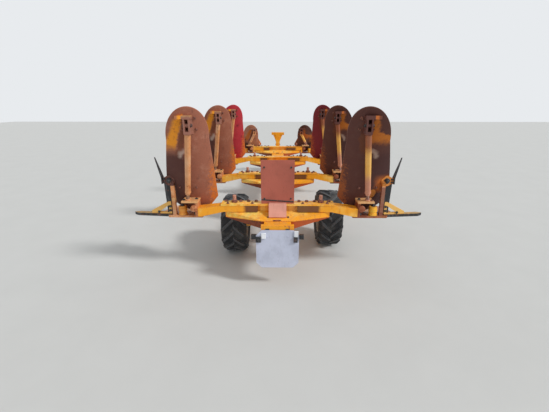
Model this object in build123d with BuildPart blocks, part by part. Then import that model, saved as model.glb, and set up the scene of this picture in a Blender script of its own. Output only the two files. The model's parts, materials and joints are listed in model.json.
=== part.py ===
from build123d import *
import os
from math import atan2, cos, radians, sin, sqrt, tan

# Reversible plough in its quarter-turned road position, seen with +Y as the way of travel.
# Millimetres, +X right, +Z up, ground at z = 0, origin at the middle of the footprint.

# Layout along the machine
body_pitch = 1650
marker_overhang = 370
beam_front_overhang = 600
seat_gap = 0.3
running_gap = 6
cut_reach = 900

# Main beam
beam_width = 300
beam_height = 240
beam_bottom = 500
end_box_width = 360
end_box_height = 142
end_box_length = 60

# Turnover bearing and headstock
journal_radius = 80
journal_length = 290
beam_flange_radius = 150
beam_flange_length = 30
hub_radius = 150
hub_wall = 34
mast_width = 110
mast_depth = 120
mast_height = 580
mast_arm_width = 360
mast_arm_height = 70
neck_width = 120
neck_length = 120
neck_height = 222
ear_thickness = 30
ear_radius = 70
pivot_reach = 620
pivot_pin_radius = 30

# Cross shaft for the tractor's lower links
shaft_boss_radius = 75
shaft_arm_height = 100
shaft_arm_depth = 90
shaft_half_length = 430
link_pin_radius = 18.3
link_pin_length = 120
link_collar_radius = 34
link_collar_length = 14

# Head plates that clamp each pair of legs across the beam
plate_half_width = 600
plate_flange_half_width = 650
plate_flange_depth = 140
plate_rear = 200
plate_ridge = 50
plate_front = 60
plate_top = 810
plate_rear_edge = 745
plate_end_bottom = 735
plate_belly_bottom = 655
plate_belly_half_width = 180
plate_end_rear = 10
plate_flange_thickness = 20
plate_block_half_width = 200
pivot_bolt_radius = 20
pivot_bolt_height = 85
pivot_bolt_x = 500

# Legs
leg_thickness = 75
leg_inner_x = 230
leg_end_inset = 130
leg_end_bottom = 752
leg_end_top = 850
leg_end_length = 40
leg_bend_out = 20
leg_front = 55
leg_rear = 75

# Mouldboards: a bent plate whose section turns as it goes up, so that its back faces the beam there
board_foot_width = 610
board_shoulder_width = 404
board_top_rise = 340
board_thickness = 12
board_outer_arc = 50
board_inner_arc = 18
board_tilt = 7.5
board_lean = 24
board_twist = 30
board_forward = 150
board_foot_height = 34
board_inner_corner_x = 150
board_inner_corner_rise = 260
board_spare_arc = 22
room_spare_arc = 40
room_depth = 400
plate_below = 250
plate_step = 950
plate_sections = 3
outline_rear = 500
outline_front = 520

# Shares, points and wing blades
base_z = 720
share_width = 74
share_height = 360
share_thickness = 16
point_root = 200
point_reach = 675
point_forward_root = 40
point_forward_tip = 90
point_width = 60
point_thickness = 34
holder_length = 250
holder_height = 150
holder_bar = 30
holder_window_end = 88
holder_window_drop = 46
holder_width = 40
blade_thickness = 14
blade_root_height = 70
blade_out = 82
blade_rise = 225
blade_depth = 60
blade_tip_depth = 16

# Frogs: the welded base that joins leg, share, mouldboard and stay
sole_thickness = 24
# Outline of the sole: out from the body's foot, forward of its station
sole_plan = (
    (-170, -20),
    (225, -20),
    (330, 150),
    (300, 330),
    (180, 380),
    (-60, 230),
    (-170, 190),
)
cheek_thickness = 30
cheek_rear = 70
cheek_front = 260
shelf_height = 223
shelf_x = -46
shelf_half_width = 92
shelf_thickness = 22
shelf_rear = 52
shelf_front = 160
heel_radius = 44
heel_height = 110
heel_x = 70
heel_y = 22
strut_x = 163
strut_y = 18
strut_size = 40
wing_bracket_x = 190
wing_bracket_rise = 440
wing_bracket_radius = 60
wing_bracket_length = 72
wing_bracket_height = 70
wing_bracket_thickness = 26
wing_boss_radius = 32
wing_boss_forward = 400

# Stays between the shelf and the back of the mouldboard
stay_foot_x = -20
stay_foot_y = -44
stay_rod_radius = 15
stay_rod_length = 110
stay_tube_radius = 31
stay_head_below_top = 250
stay_head_height = 178
stay_head_width = 66
stay_head_slot = 34
stay_slot_height = 116
stay_slot_middle = 84
stay_head_depth = 62
stay_head_forward = 260
stay_head_x = -172
stay_bar_width = 150
stay_bar_height = 34
stay_bar_out = 34
stay_eye_radius = 20
stay_nut_radius = 28
stay_nut_height = 26

# Rear board that stands on the last head plate
rear_board_width = 376
rear_board_height = 500
rear_board_thickness = 12
rear_board_inset = 25
foot_strip_width = 200
foot_strip_end = 50
foot_strip_lip = 10

# Blank marker plate
marker_width = 470
marker_height = 453
marker_top = 700
marker_thickness = 4
marker_corner = 62
marker_top_corner = 82
marker_bar_height = 40
marker_bar_thickness = 10
marker_bar_z = 625
marker_strap_x = 110
marker_strap_height = 227
marker_clamp_size = 50
marker_clamp_proud = 20

# Wheel carriage: the axle box lies askew under the beam, and both wheels run straight ahead
wheel_radius = 400
tyre_width = 340
lug_height = 24
lug_count = 14
lug_length = 205
lug_thickness = 42
lug_angle = 42
lug_middle = 82
lug_root = 70
lug_chamfer = 46
tyre_shoulder = 52
tyre_side_height = 60
tread_radius = wheel_radius - lug_height
rim_radius = 215
rim_wall = 14
rim_width = 290
rim_disc_thickness = 16
rim_disc_at_rim = 10
rim_disc_at_hub = 30
weld_bite = 4
wheel_hub_radius = 75
wheel_hub_length = 150
stub_radius = 30
stub_end = 20
stub_root = 60
stub_clearance = 0.3
track = 1338
axle_yaw = 9.5
axle_shift = 80
axle_from_unit_1 = 780
axle_size = 100
saddle_length = 260
clamp_overhang = 39
clamp_bolt_radius = 13
clamp_bolt_gap = 4
clamp_bolt_inset = 30
clamp_plate_thickness = 22

# Parking stand on the beam's left side
stand_behind_beam_front = 1000
stand_plate_size = 160
stand_plate_thickness = 15
stand_pin_radius = 20
stand_tube = 70
stand_eye_radius = 45
stand_foot_size = 200
stand_foot_thickness = 15
stand_washer_radius = 34
stand_washer_thickness = 10

# Derived places
axis_z = beam_bottom + beam_height / 2
beam_top = beam_bottom + beam_height
leg_bottom = plate_top + seat_gap
leg_top = leg_bottom + leg_thickness
flange_bottom = leg_top + seat_gap
flange_top = flange_bottom + plate_flange_thickness
sole_top = base_z + sole_thickness
board_radius = board_foot_width / (sin(radians(board_outer_arc)) + sin(radians(board_inner_arc)))
board_shift = board_radius * sin(radians(board_outer_arc)) - board_foot_width / 2

# Bodies from the rear: number, reach of the mouldboard's foot from the middle, height of its top
units = (
    (1, 1050, 1960),
    (2, 1050, 1960),
    (3, 1050, 1960),
    (4, 782, 1460),
)


def finish(part, name):
    part.label = name
    export_step(part, f"parts/{name}.step")


def across(y):
    """Upright plane at y: sketch x is +X, sketch y is +Z, and it faces the rear."""
    return Plane.XZ.offset(-y)


def board_axes():
    """Directions of the mouldboard: outwards, forwards and up along its length."""
    out = Vector(1, 0, tan(radians(board_tilt))).normalized()
    up = Vector(-tan(radians(board_tilt)), -tan(radians(board_lean)), 1).normalized()
    return out, up.cross(out), up


def board_foot(reach, station):
    return Vector(reach, station + board_forward, base_z)


def section_axes(along):
    """The section's own outward and forward directions, this far up the mouldboard."""
    out, ahead, up = board_axes()
    turn = radians(board_twist * along / 1000)
    return out * cos(turn) - ahead * sin(turn), ahead * cos(turn) + out * sin(turn)


def bent_plate(reach, station, back_radius, thickness, spare_arc):
    """A plate on the mouldboard's twisted round form, spare_arc degrees wider to both sides."""
    up = board_axes()[2]
    inner = board_inner_arc + spare_arc
    outer = board_outer_arc + spare_arc
    middle = (-board_shift, board_radius)
    with BuildPart() as plate:
        for index in range(plate_sections):
            along = index * plate_step - plate_below
            origin = board_foot(reach, station) + up * along
            with BuildSketch(Plane(origin=origin, x_dir=section_axes(along)[0], z_dir=up)):
                with BuildLine():
                    back = CenterArc(middle, back_radius, -90 - inner, inner + outer)
                    front = CenterArc(middle, back_radius - thickness, -90 - inner, inner + outer)
                    Line(back @ 0, front @ 0)
                    Line(back @ 1, front @ 1)
                make_face()
        loft()
    return plate.part


def board_room(reach, station):
    """The space from just behind the mouldboard's back to well in front of it."""
    return bent_plate(reach, station, board_radius + seat_gap, room_depth, room_spare_arc)


def outline_plane(reach, station):
    """Plane along the mouldboard: sketch x is outwards, sketch y is up its length."""
    out, ahead, _ = board_axes()
    return Plane(origin=board_foot(reach, station), x_dir=out, z_dir=-ahead)


def back_of_board(reach, station, x, z):
    """The y where the back of the mouldboard lies at this x and z, found by nearing it in steps."""
    up = board_axes()[2]
    along, angle = 0.0, 0.0
    for _ in range(30):
        out, ahead = section_axes(along)
        across_section = board_radius * sin(angle) - board_shift
        into_section = board_radius * (1 - cos(angle))
        point = board_foot(reach, station) + up * along + out * across_section + ahead * into_section
        along += (z - point.Z) / up.Z
        angle += (x - point.X) / board_radius
    return point.Y


def make_board(reach, station, top):
    foot = board_foot_width / 2
    shoulder = board_shoulder_width / 2
    rise = board_top_rise / board_axes()[2].Z
    straight = (top - base_z) / board_axes()[2].Z - rise
    low = board_foot_height
    share_edge = foot - share_width
    with BuildPart() as board:
        add(bent_plate(reach, station, board_radius, board_thickness, board_spare_arc))
        with BuildSketch(outline_plane(reach, station).offset(-outline_front)):
            with BuildLine():
                Polyline(
                    (-shoulder, straight),
                    (-foot, board_inner_corner_rise),
                    (-board_inner_corner_x, low),
                    (share_edge, low),
                    (share_edge, share_height),
                    (foot, share_height),
                    (shoulder, straight),
                )
                EllipticalCenterArc((0, straight), shoulder, rise, start_angle=0, arc_size=180)
            make_face()
        extrude(amount=outline_front + outline_rear, mode=Mode.INTERSECT)
        split(bisect_by=Plane.XY.offset(sole_top + seat_gap), keep=Keep.TOP)
    return board.part


def make_shares(reach, station):
    """Share blades, points with their holders, and wing blades, for both hands."""
    foot = board_foot_width / 2
    inner = foot - share_width + seat_gap
    with BuildPart() as shares:
        add(bent_plate(reach, station, board_radius, share_thickness, board_spare_arc))
        with BuildSketch(outline_plane(reach, station).offset(-outline_front)):
            Polygon(
                (inner, 0),
                (foot + share_width, 0),
                (foot, share_height - seat_gap),
                (inner, share_height - seat_gap),
                align=None,
            )
        extrude(amount=outline_front + outline_rear, mode=Mode.INTERSECT)
        split(bisect_by=Plane.XY.offset(sole_top + seat_gap), keep=Keep.TOP)
        add(make_point(reach, station))
        add(make_wing_blade(reach, station))
        mirror(about=Plane.YZ)
    return shares.part


def point_outline(reach, station, gap):
    """Plan of the point bar, widened by gap all round."""
    run = point_reach - point_root
    rise = point_forward_tip - point_forward_root
    slope = atan2(rise, run)
    bar = run / cos(slope) - point_width
    half = point_width / 2 + gap
    plane = Plane(
        origin=(reach + point_root, station + point_forward_root, base_z - gap),
        x_dir=(cos(slope), sin(slope), 0),
        z_dir=(0, 0, 1),
    )
    corners = (
        (-gap, -half),
        (bar, -half),
        (bar + point_width + gap, 0),
        (bar, half),
        (-gap, half),
    )
    return plane, corners


def make_point(reach, station):
    """Point bar along the sole, with its open three-cornered holder on top."""
    plane, corners = point_outline(reach, station, 0)
    side = Plane(
        origin=plane.origin + Vector(0, 0, point_thickness),
        x_dir=plane.x_dir,
        z_dir=plane.x_dir.cross(Vector(0, 0, 1)),
    )
    with BuildPart() as point:
        with BuildSketch(plane):
            Polygon(*corners, align=None)
        extrude(amount=point_thickness)
        with BuildSketch(side):
            Polygon(
                (0, 0),
                (holder_length, 0),
                (holder_length, holder_bar),
                (holder_bar, holder_height),
                (0, holder_height),
                align=None,
            )
            Polygon(
                (holder_bar, holder_bar / 2),
                (holder_length - holder_window_end, holder_bar / 2),
                (holder_bar, holder_height - holder_window_drop),
                align=None,
                mode=Mode.SUBTRACT,
            )
        extrude(amount=holder_width / 2, both=True)
    return point.part


def make_wing_blade(reach, station):
    """A thin blade that stands out from the end of the wing bracket, edge on to the rear."""
    x = reach + wing_bracket_x + wing_bracket_length + seat_gap
    z = base_z + wing_bracket_rise - blade_root_height / 2
    shoulder = z + blade_root_height
    top = shoulder + blade_rise
    front = station + strut_y + blade_depth / 2
    rear = front - blade_depth
    with BuildPart() as blade:
        with BuildSketch(across(front)):
            Polygon(
                (x, z),
                (x + blade_thickness, z),
                (x + blade_thickness, shoulder),
                (x + blade_out, top),
                (x + blade_out - blade_thickness / 2, top),
                (x, shoulder),
                align=None,
            )
        extrude(amount=blade_depth)
        with BuildSketch(Plane.YZ.offset(x)):
            Polygon(
                (rear, z),
                (front, z),
                (front, top),
                (front - blade_tip_depth, top),
                (rear, shoulder),
                align=None,
            )
        extrude(amount=blade_out, mode=Mode.INTERSECT)
    return blade.part


def make_frogs(reach, station):
    cheek_x = reach - leg_end_inset + seat_gap
    shelf_z = base_z + shelf_height
    bracket_z = base_z + wing_bracket_rise
    with BuildPart() as frogs:
        with BuildSketch(Plane.XY.offset(sole_top)):
            with Locations((cheek_x + cheek_thickness / 2, station + (cheek_front - cheek_rear) / 2)):
                Rectangle(cheek_thickness, cheek_front + cheek_rear)
        extrude(amount=shelf_z - shelf_thickness - sole_top)
        with BuildSketch(Plane.XY.offset(shelf_z - shelf_thickness)):
            with Locations((reach + shelf_x, station + stay_foot_y + (shelf_front - shelf_rear) / 2)):
                Rectangle(2 * shelf_half_width, shelf_front + shelf_rear)
        extrude(amount=shelf_thickness)
        with BuildSketch(Plane.XY.offset(sole_top)):
            with Locations((reach + strut_x, station + strut_y)):
                Rectangle(strut_size, strut_size)
        extrude(amount=bracket_z - sole_top)
        with BuildSketch(across(station + strut_y + wing_bracket_thickness / 2)):
            with Locations((reach + wing_bracket_x, bracket_z)):
                Circle(wing_bracket_radius)
            with Locations((reach + wing_bracket_x + wing_bracket_length / 2, bracket_z)):
                Rectangle(wing_bracket_length, wing_bracket_height)
        extrude(amount=wing_bracket_thickness)
        with BuildSketch(across(station + wing_boss_forward)):
            with Locations((reach + wing_bracket_x, bracket_z)):
                Circle(wing_boss_radius)
        extrude(amount=wing_boss_forward - strut_y)
        add(board_room(reach, station), mode=Mode.SUBTRACT)
        with BuildSketch(Plane.XY.offset(sole_top)):
            with Locations((reach + heel_x, station + heel_y)):
                Circle(heel_radius)
        extrude(amount=heel_height)
        with BuildSketch(Plane.XY.offset(base_z)):
            Polygon(*[(reach + out, station + forward) for out, forward in sole_plan], align=None)
        extrude(amount=sole_thickness)
        plane, corners = point_outline(reach, station, seat_gap)
        with BuildSketch(plane):
            Polygon(*corners, align=None)
        extrude(amount=holder_height + point_thickness, mode=Mode.SUBTRACT)
        mirror(about=Plane.YZ)
    return frogs.part


def make_stays(reach, station, top):
    """Threaded rod, nut and tube from the shelf to a slotted head on the mouldboard's back."""
    foot = Vector(reach + stay_foot_x, station + stay_foot_y, base_z + shelf_height + seat_gap)
    head_low = top - stay_head_below_top
    head_x = reach + stay_head_x
    head_middle = head_low + stay_head_height / 2
    head_back = back_of_board(reach, station, head_x, head_middle)
    head_front = head_back + stay_head_forward
    head = Vector(head_x, head_back - stay_head_depth, head_low + stay_tube_radius)
    line = Plane(origin=foot, z_dir=head - foot)
    bar_z = head_low + stay_head_height - stay_bar_height / 2
    with BuildPart() as stays:
        with BuildSketch(across(head_front)):
            with Locations((head_x, head_middle)):
                Rectangle(stay_head_width, stay_head_height)
            with Locations((head_x + stay_bar_out, bar_z)):
                Rectangle(stay_bar_width, stay_bar_height)
        extrude(amount=stay_head_forward + stay_head_depth + stay_tube_radius)
        with BuildSketch(across(head_front + stay_tube_radius)):
            with Locations((head_x, head_low + stay_slot_middle)):
                Rectangle(stay_head_slot, stay_slot_height)
        extrude(amount=stay_head_forward + stay_head_depth + 3 * stay_tube_radius, mode=Mode.SUBTRACT)
        with BuildSketch(Plane.YZ.offset(head_x - stay_head_width / 2)):
            with Locations((head_back - stay_head_depth, head_low + stay_slot_middle)):
                Circle(stay_eye_radius)
        extrude(amount=stay_head_width)
        add(board_room(reach, station), mode=Mode.SUBTRACT)
        with BuildSketch(line.offset(stay_rod_length)):
            Circle(stay_tube_radius)
        extrude(amount=(head - foot).length - stay_rod_length)
        with BuildSketch(line):
            Circle(stay_rod_radius)
        extrude(amount=stay_rod_length)
        with BuildSketch(line.offset(stay_rod_length - stay_nut_height)):
            RegularPolygon(stay_nut_radius, 6)
        extrude(amount=stay_nut_height)
        split(bisect_by=Plane.XY.offset(foot.Z), keep=Keep.TOP)
        mirror(about=Plane.YZ)
    return stays.part


def make_head_plate(station):
    belly = plate_belly_half_width
    with BuildPart() as plate:
        with BuildSketch(Plane.YZ):
            Polygon(
                (station - plate_rear, plate_belly_bottom),
                (station - plate_rear, plate_rear_edge),
                (station - plate_ridge, plate_top),
                (station + plate_front, plate_top),
                (station + plate_front, plate_belly_bottom),
                align=None,
            )
        extrude(amount=plate_half_width, both=True)
        with BuildSketch(across(station + cut_reach)):
            Polygon(
                (-plate_half_width, plate_end_bottom),
                (-belly, plate_belly_bottom),
                (belly, plate_belly_bottom),
                (plate_half_width, plate_end_bottom),
                (plate_half_width, plate_top),
                (-plate_half_width, plate_top),
                align=None,
            )
        extrude(amount=2 * cut_reach, mode=Mode.INTERSECT)
        with BuildSketch(Plane.XY):
            Polygon(
                (-belly, station - plate_rear),
                (belly, station - plate_rear),
                (plate_half_width, station - plate_end_rear - leg_rear / 2),
                (plate_half_width, station + plate_front),
                (-plate_half_width, station + plate_front),
                (-plate_half_width, station - plate_end_rear - leg_rear / 2),
                align=None,
            )
        extrude(amount=plate_top, mode=Mode.INTERSECT)
        block_y = station + (plate_front - leg_rear / 2) / 2
        with BuildSketch(Plane.XY.offset(plate_top)):
            with Locations((0, block_y)):
                Rectangle(2 * plate_block_half_width, plate_front + leg_rear / 2)
        extrude(amount=flange_top - plate_top)
        with BuildSketch(Plane.XY.offset(flange_bottom)):
            with Locations((0, station + plate_front - plate_flange_depth / 2)):
                Rectangle(2 * plate_flange_half_width, plate_flange_depth)
        extrude(amount=plate_flange_thickness)
        with BuildSketch(Plane.XY.offset(flange_top)):
            with Locations((-pivot_bolt_x, station), (pivot_bolt_x, station)):
                Circle(pivot_bolt_radius)
        extrude(amount=pivot_bolt_height)
        with BuildSketch(across(station + cut_reach)):
            with Locations((0, axis_z)):
                Rectangle(beam_width + 2 * seat_gap, beam_height + 2 * seat_gap)
        extrude(amount=2 * cut_reach, mode=Mode.SUBTRACT)
    return plate.part


def make_legs(reach, station):
    end_x = reach - leg_end_inset
    with BuildPart() as legs:
        with BuildSketch(across(station + leg_front)):
            Polygon(
                (leg_inner_x, leg_bottom),
                (plate_half_width + leg_bend_out, leg_bottom),
                (end_x - leg_end_length, leg_end_bottom),
                (end_x, leg_end_bottom),
                (end_x, leg_end_top),
                (plate_flange_half_width, leg_top),
                (leg_inner_x, leg_top),
                align=None,
            )
        extrude(amount=leg_front + leg_rear)
        mirror(about=Plane.YZ)
    return legs.part


def make_tyre(centre, out):
    """Tyre with two rows of slanted lugs, on the wheel's own plane."""
    plane = Plane(origin=centre, x_dir=(0, 0, 1), z_dir=out)
    half = tyre_width / 2
    bead = rim_width / 2 - rim_wall
    side = Plane(origin=centre, x_dir=(0, 0, 1), z_dir=out.cross(Vector(0, 0, 1)))
    with BuildPart() as tyre:
        with BuildSketch(side):
            Polygon(
                (rim_radius, -bead),
                (rim_radius + tyre_side_height, -half),
                (tread_radius - tyre_shoulder, -half),
                (tread_radius, -half + tyre_shoulder),
                (tread_radius, half - tyre_shoulder),
                (tread_radius - tyre_shoulder, half),
                (rim_radius + tyre_side_height, half),
                (rim_radius, bead),
                align=None,
            )
        revolve(axis=Axis(centre, out))
        tyre_plain = tyre.part
    step = 360 / lug_count
    with BuildPart() as lugs:
        for row in (-1, 1):
            for index in range(lug_count):
                turn = index * step + (row + 1) * step / 4
                lug_place = (
                    plane.location
                    * Rotation(0, 0, turn)
                    * Pos(tread_radius, 0, row * lug_middle)
                    * Rotation(row * lug_angle, 0, 0)
                )
                with Locations(lug_place):
                    Box(2 * lug_root, lug_thickness, lug_length)
        with BuildSketch(side):
            Polygon(
                (tread_radius - lug_root, -half),
                (wheel_radius - lug_chamfer, -half),
                (wheel_radius, -half + lug_chamfer),
                (wheel_radius, half - lug_chamfer),
                (wheel_radius - lug_chamfer, half),
                (tread_radius - lug_root, half),
                align=None,
            )
        revolve(axis=Axis(centre, out), mode=Mode.INTERSECT)
        add(tyre_plain)
    return lugs.part


def make_rim(centre, out):
    side = Plane(origin=centre, x_dir=(0, 0, 1), z_dir=out.cross(Vector(0, 0, 1)))
    half = rim_width / 2
    barrel = rim_radius - rim_wall
    bore = stub_radius + stub_clearance
    with BuildPart() as rim:
        with BuildSketch(side):
            Polygon(
                (barrel, -half),
                (rim_radius, -half),
                (rim_radius, half),
                (barrel, half),
                align=None,
            )
            Polygon(
                (bore, -wheel_hub_length / 2),
                (wheel_hub_radius, -wheel_hub_length / 2),
                (wheel_hub_radius, wheel_hub_length / 2),
                (bore, wheel_hub_length / 2),
                align=None,
            )
            Polygon(
                (wheel_hub_radius - weld_bite, rim_disc_at_hub),
                (barrel + weld_bite, rim_disc_at_rim),
                (barrel + weld_bite, rim_disc_at_rim + rim_disc_thickness),
                (wheel_hub_radius - weld_bite, rim_disc_at_hub + rim_disc_thickness),
                align=None,
            )
        revolve(axis=Axis(centre, out))
    return rim.part


os.makedirs("parts", exist_ok=True)

# Places along the machine: the rearmost mouldboards and the link pins' boss set its length
rear_board_of_1 = make_board(units[0][1], 0, units[0][2])
rear_overhang = -rear_board_of_1.bounding_box().min.Y
front_reach = pivot_reach + shaft_boss_radius
length = rear_overhang + 3 * body_pitch + beam_front_overhang + front_reach
rear_y = -length / 2
unit_1_y = rear_y + rear_overhang
beam_front_y = unit_1_y + 3 * body_pitch + beam_front_overhang
clamp_face_y = unit_1_y - marker_overhang
marker_face_y = clamp_face_y + marker_clamp_proud
end_box_y = marker_face_y + marker_thickness + marker_bar_thickness + 2 * seat_gap
beam_rear_y = end_box_y + end_box_length
print("length", length, "unit 1 at", unit_1_y)

# Main beam with its bearing journal at the front
with BuildPart() as beam:
    with BuildSketch(across(beam_front_y)):
        with Locations((0, axis_z)):
            Rectangle(beam_width, beam_height)
    extrude(amount=beam_front_y - beam_rear_y - seat_gap)
    with BuildSketch(across(beam_front_y + beam_flange_length)):
        with Locations((0, axis_z)):
            Circle(beam_flange_radius)
    extrude(amount=beam_flange_length)
    with BuildSketch(across(beam_front_y + beam_flange_length + journal_length)):
        with Locations((0, axis_z)):
            Circle(journal_radius)
    extrude(amount=journal_length)
finish(beam.part, "beam")

# Box that closes the rear end of the beam
with BuildPart() as end_box:
    with BuildSketch(across(beam_rear_y)):
        with Locations((0, beam_top - end_box_height / 2)):
            Rectangle(end_box_width, end_box_height)
    extrude(amount=end_box_length)
finish(end_box.part, "end_box")

# The bodies
for number, reach, top in units:
    station = unit_1_y + (number - 1) * body_pitch
    finish(make_head_plate(station), f"head_plate_{number}")
    finish(make_legs(reach, station), f"legs_{number}")
    right_board = make_board(reach, station, top)
    finish(right_board, f"mouldboard_right_{number}")
    with BuildPart() as left_board:
        mirror(right_board, about=Plane.YZ)
    finish(left_board.part, f"mouldboard_left_{number}")
    finish(make_shares(reach, station), f"shares_{number}")
    finish(make_frogs(reach, station), f"frogs_{number}")
    finish(make_stays(reach, station, top), f"stays_{number}")

# Rear board, upright on the rear head plate, and the bent strip at its foot
board_face_y = unit_1_y + plate_front - plate_flange_depth + rear_board_inset
with BuildPart() as rear_board:
    with BuildSketch(across(board_face_y + rear_board_thickness)):
        with Locations((0, flange_top + seat_gap + rear_board_height / 2)):
            Rectangle(rear_board_width, rear_board_height)
    extrude(amount=rear_board_thickness)
finish(rear_board.part, "rear_board")

strip_rear = unit_1_y - plate_rear + foot_strip_end
strip_slope = (plate_top - plate_rear_edge) / (plate_rear - plate_ridge)
strip_low = plate_rear_edge + foot_strip_end * strip_slope + seat_gap
strip_edge = unit_1_y + plate_front - plate_flange_depth - foot_strip_lip
with BuildPart() as foot_strip:
    with BuildSketch(Plane.YZ.offset(-foot_strip_width / 2)):
        Polygon(
            (board_face_y - seat_gap, flange_top + seat_gap),
            (board_face_y - seat_gap, flange_top + seat_gap + rear_board_thickness),
            (strip_edge - rear_board_thickness, flange_top + seat_gap + rear_board_thickness),
            (strip_rear - rear_board_thickness, strip_low + rear_board_thickness),
            (strip_rear, strip_low),
            (strip_edge, flange_top + seat_gap),
            align=None,
        )
    extrude(amount=foot_strip_width)
finish(foot_strip.part, "foot_strip")

# Blank marker plate and the bar with clamps that holds it
marker_bottom = marker_top - marker_height
with BuildPart() as marker:
    with BuildSketch(across(marker_face_y + marker_thickness)) as marker_sketch:
        with Locations((0, marker_bottom + marker_height / 2)):
            Rectangle(marker_width, marker_height)
        low_corners = marker_sketch.vertices().group_by(Axis.Z)[0]
        top_corners = marker_sketch.vertices().group_by(Axis.Z)[-1]
        chamfer(low_corners, marker_corner)
        chamfer(top_corners, marker_top_corner)
    extrude(amount=marker_thickness)
finish(marker.part, "marker_plate")

bar_y = marker_face_y + marker_thickness + seat_gap
bar_half = marker_width / 2 + marker_clamp_size / 2
with BuildPart() as marker_bar:
    with BuildSketch(across(bar_y + marker_bar_thickness)):
        with Locations((0, marker_bar_z)):
            Rectangle(2 * bar_half, marker_bar_height)
        strap_z = beam_top - end_box_height
        with Locations((-marker_strap_x, strap_z), (marker_strap_x, strap_z)):
            Rectangle(marker_bar_height, marker_strap_height)
    extrude(amount=marker_bar_thickness)
    with BuildSketch(across(bar_y + marker_bar_thickness)):
        with Locations((-bar_half, marker_bar_z), (bar_half, marker_bar_z)):
            Rectangle(marker_clamp_size - 2 * seat_gap, marker_clamp_size)
    extrude(amount=bar_y + marker_bar_thickness - clamp_face_y)
finish(marker_bar.part, "marker_bar")

# Wheel carriage
axle_z = wheel_radius
yaw = radians(axle_yaw)
axle_line = Vector(cos(yaw), sin(yaw), 0)
axle_middle = Vector(axle_shift, unit_1_y + axle_from_unit_1, axle_z)
wheel_places = (
    ("left", -1, axle_middle - axle_line * (track / 2)),
    ("right", 1, axle_middle + axle_line * (track / 2)),
)
axle_end_in = wheel_hub_length / 2 + running_gap
axle_half_depth = axle_size / 2 / cos(yaw)
axle_left_end, axle_right_end = [centre.X - side * axle_end_in for _, side, centre in wheel_places]
axle_left_y, axle_right_y = [
    axle_middle.Y + (end - axle_middle.X) * tan(yaw) for end in (axle_left_end, axle_right_end)
]
saddle_y = unit_1_y + axle_from_unit_1 - axle_shift * tan(yaw)
clamp_width = beam_width + 2 * clamp_overhang
clamp_bolt_spacing = beam_width + 2 * (clamp_bolt_radius + clamp_bolt_gap)
with BuildPart() as carriage:
    with BuildSketch(Plane.XY.offset(axle_z - axle_size / 2)):
        Polygon(
            (axle_left_end, axle_left_y - axle_half_depth),
            (axle_right_end, axle_right_y - axle_half_depth),
            (axle_right_end, axle_right_y + axle_half_depth),
            (axle_left_end, axle_left_y + axle_half_depth),
            align=None,
        )
    extrude(amount=axle_size)
    for _, side, centre in wheel_places:
        with BuildSketch(Plane.YZ.offset(centre.X - side * (axle_end_in + stub_root))):
            with Locations((centre.Y, axle_z)):
                Circle(stub_radius)
        extrude(amount=side * (stub_root + axle_end_in + wheel_hub_length / 2 + stub_end))
    with BuildSketch(Plane.XY.offset(axle_z)):
        with Locations((0, saddle_y)):
            Rectangle(clamp_width, saddle_length)
    extrude(amount=beam_bottom - seat_gap - axle_z)
    with BuildSketch(Plane.XY.offset(beam_top + seat_gap)):
        with Locations((0, saddle_y)):
            Rectangle(clamp_width, saddle_length)
    extrude(amount=clamp_plate_thickness)
    with BuildSketch(Plane.XY.offset(beam_bottom - seat_gap)):
        with Locations((0, saddle_y)):
            with GridLocations(clamp_bolt_spacing, saddle_length - 2 * clamp_bolt_inset, 2, 2):
                Circle(clamp_bolt_radius)
    extrude(amount=beam_height + 2 * seat_gap + 2 * clamp_plate_thickness)
finish(carriage.part, "carriage")

for name, side, centre in wheel_places:
    outward = Vector(side, 0, 0)
    finish(make_tyre(centre, outward), f"tyre_{name}")
    finish(make_rim(centre, outward), f"rim_{name}")

# Headstock: bearing hub, neck with two ears, and the pivot pin through them
hub_rear_y = beam_front_y + beam_flange_length + running_gap
bore_end_y = beam_front_y + beam_flange_length + journal_length + running_gap
hub_front_y = bore_end_y + hub_wall
pivot_y = beam_front_y + pivot_reach
with BuildPart() as headstock:
    with BuildSketch(across(hub_front_y)):
        with Locations((0, axis_z)):
            Circle(hub_radius)
    extrude(amount=hub_front_y - hub_rear_y)
    with BuildSketch(across(hub_front_y + neck_length)):
        with Locations((0, axis_z)):
            Rectangle(neck_width, neck_height)
    extrude(amount=neck_length)
    with BuildSketch(Plane.XY.offset(axis_z - neck_height / 2)):
        with Locations((0, pivot_y)):
            Circle(ear_radius)
        with Locations((0, (pivot_y + hub_front_y) / 2)):
            Rectangle(neck_width, pivot_y - hub_front_y)
    extrude(amount=ear_thickness)
    with BuildSketch(Plane.XY.offset(axis_z + neck_height / 2 - ear_thickness)):
        with Locations((0, pivot_y)):
            Circle(ear_radius)
        with Locations((0, (pivot_y + hub_front_y) / 2)):
            Rectangle(neck_width, pivot_y - hub_front_y)
    extrude(amount=ear_thickness)
    with BuildSketch(Plane.XY.offset(axis_z - neck_height / 2)):
        with Locations((0, pivot_y)):
            Circle(pivot_pin_radius)
    extrude(amount=neck_height)
    with BuildSketch(across(bore_end_y)):
        with Locations((0, axis_z)):
            Circle(journal_radius + seat_gap)
    extrude(amount=bore_end_y - hub_rear_y, mode=Mode.SUBTRACT)
finish(headstock.part, "headstock_hub")

# Upright mast with a short cross arm, seated on the hub
mast_y = (hub_rear_y + hub_front_y) / 2
mast_top = axis_z + mast_height
with BuildPart() as mast:
    with BuildSketch(across(mast_y + mast_depth / 2)):
        with Locations((0, axis_z + mast_height / 2)):
            Rectangle(mast_width, mast_height)
        with Locations((0, mast_top - mast_arm_height / 2)):
            Rectangle(mast_arm_width, mast_arm_height)
    extrude(amount=mast_depth)
    with BuildSketch(across(mast_y + mast_depth)):
        with Locations((0, axis_z)):
            Circle(hub_radius + seat_gap)
    extrude(amount=2 * mast_depth, mode=Mode.SUBTRACT)
finish(mast.part, "mast")

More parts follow.
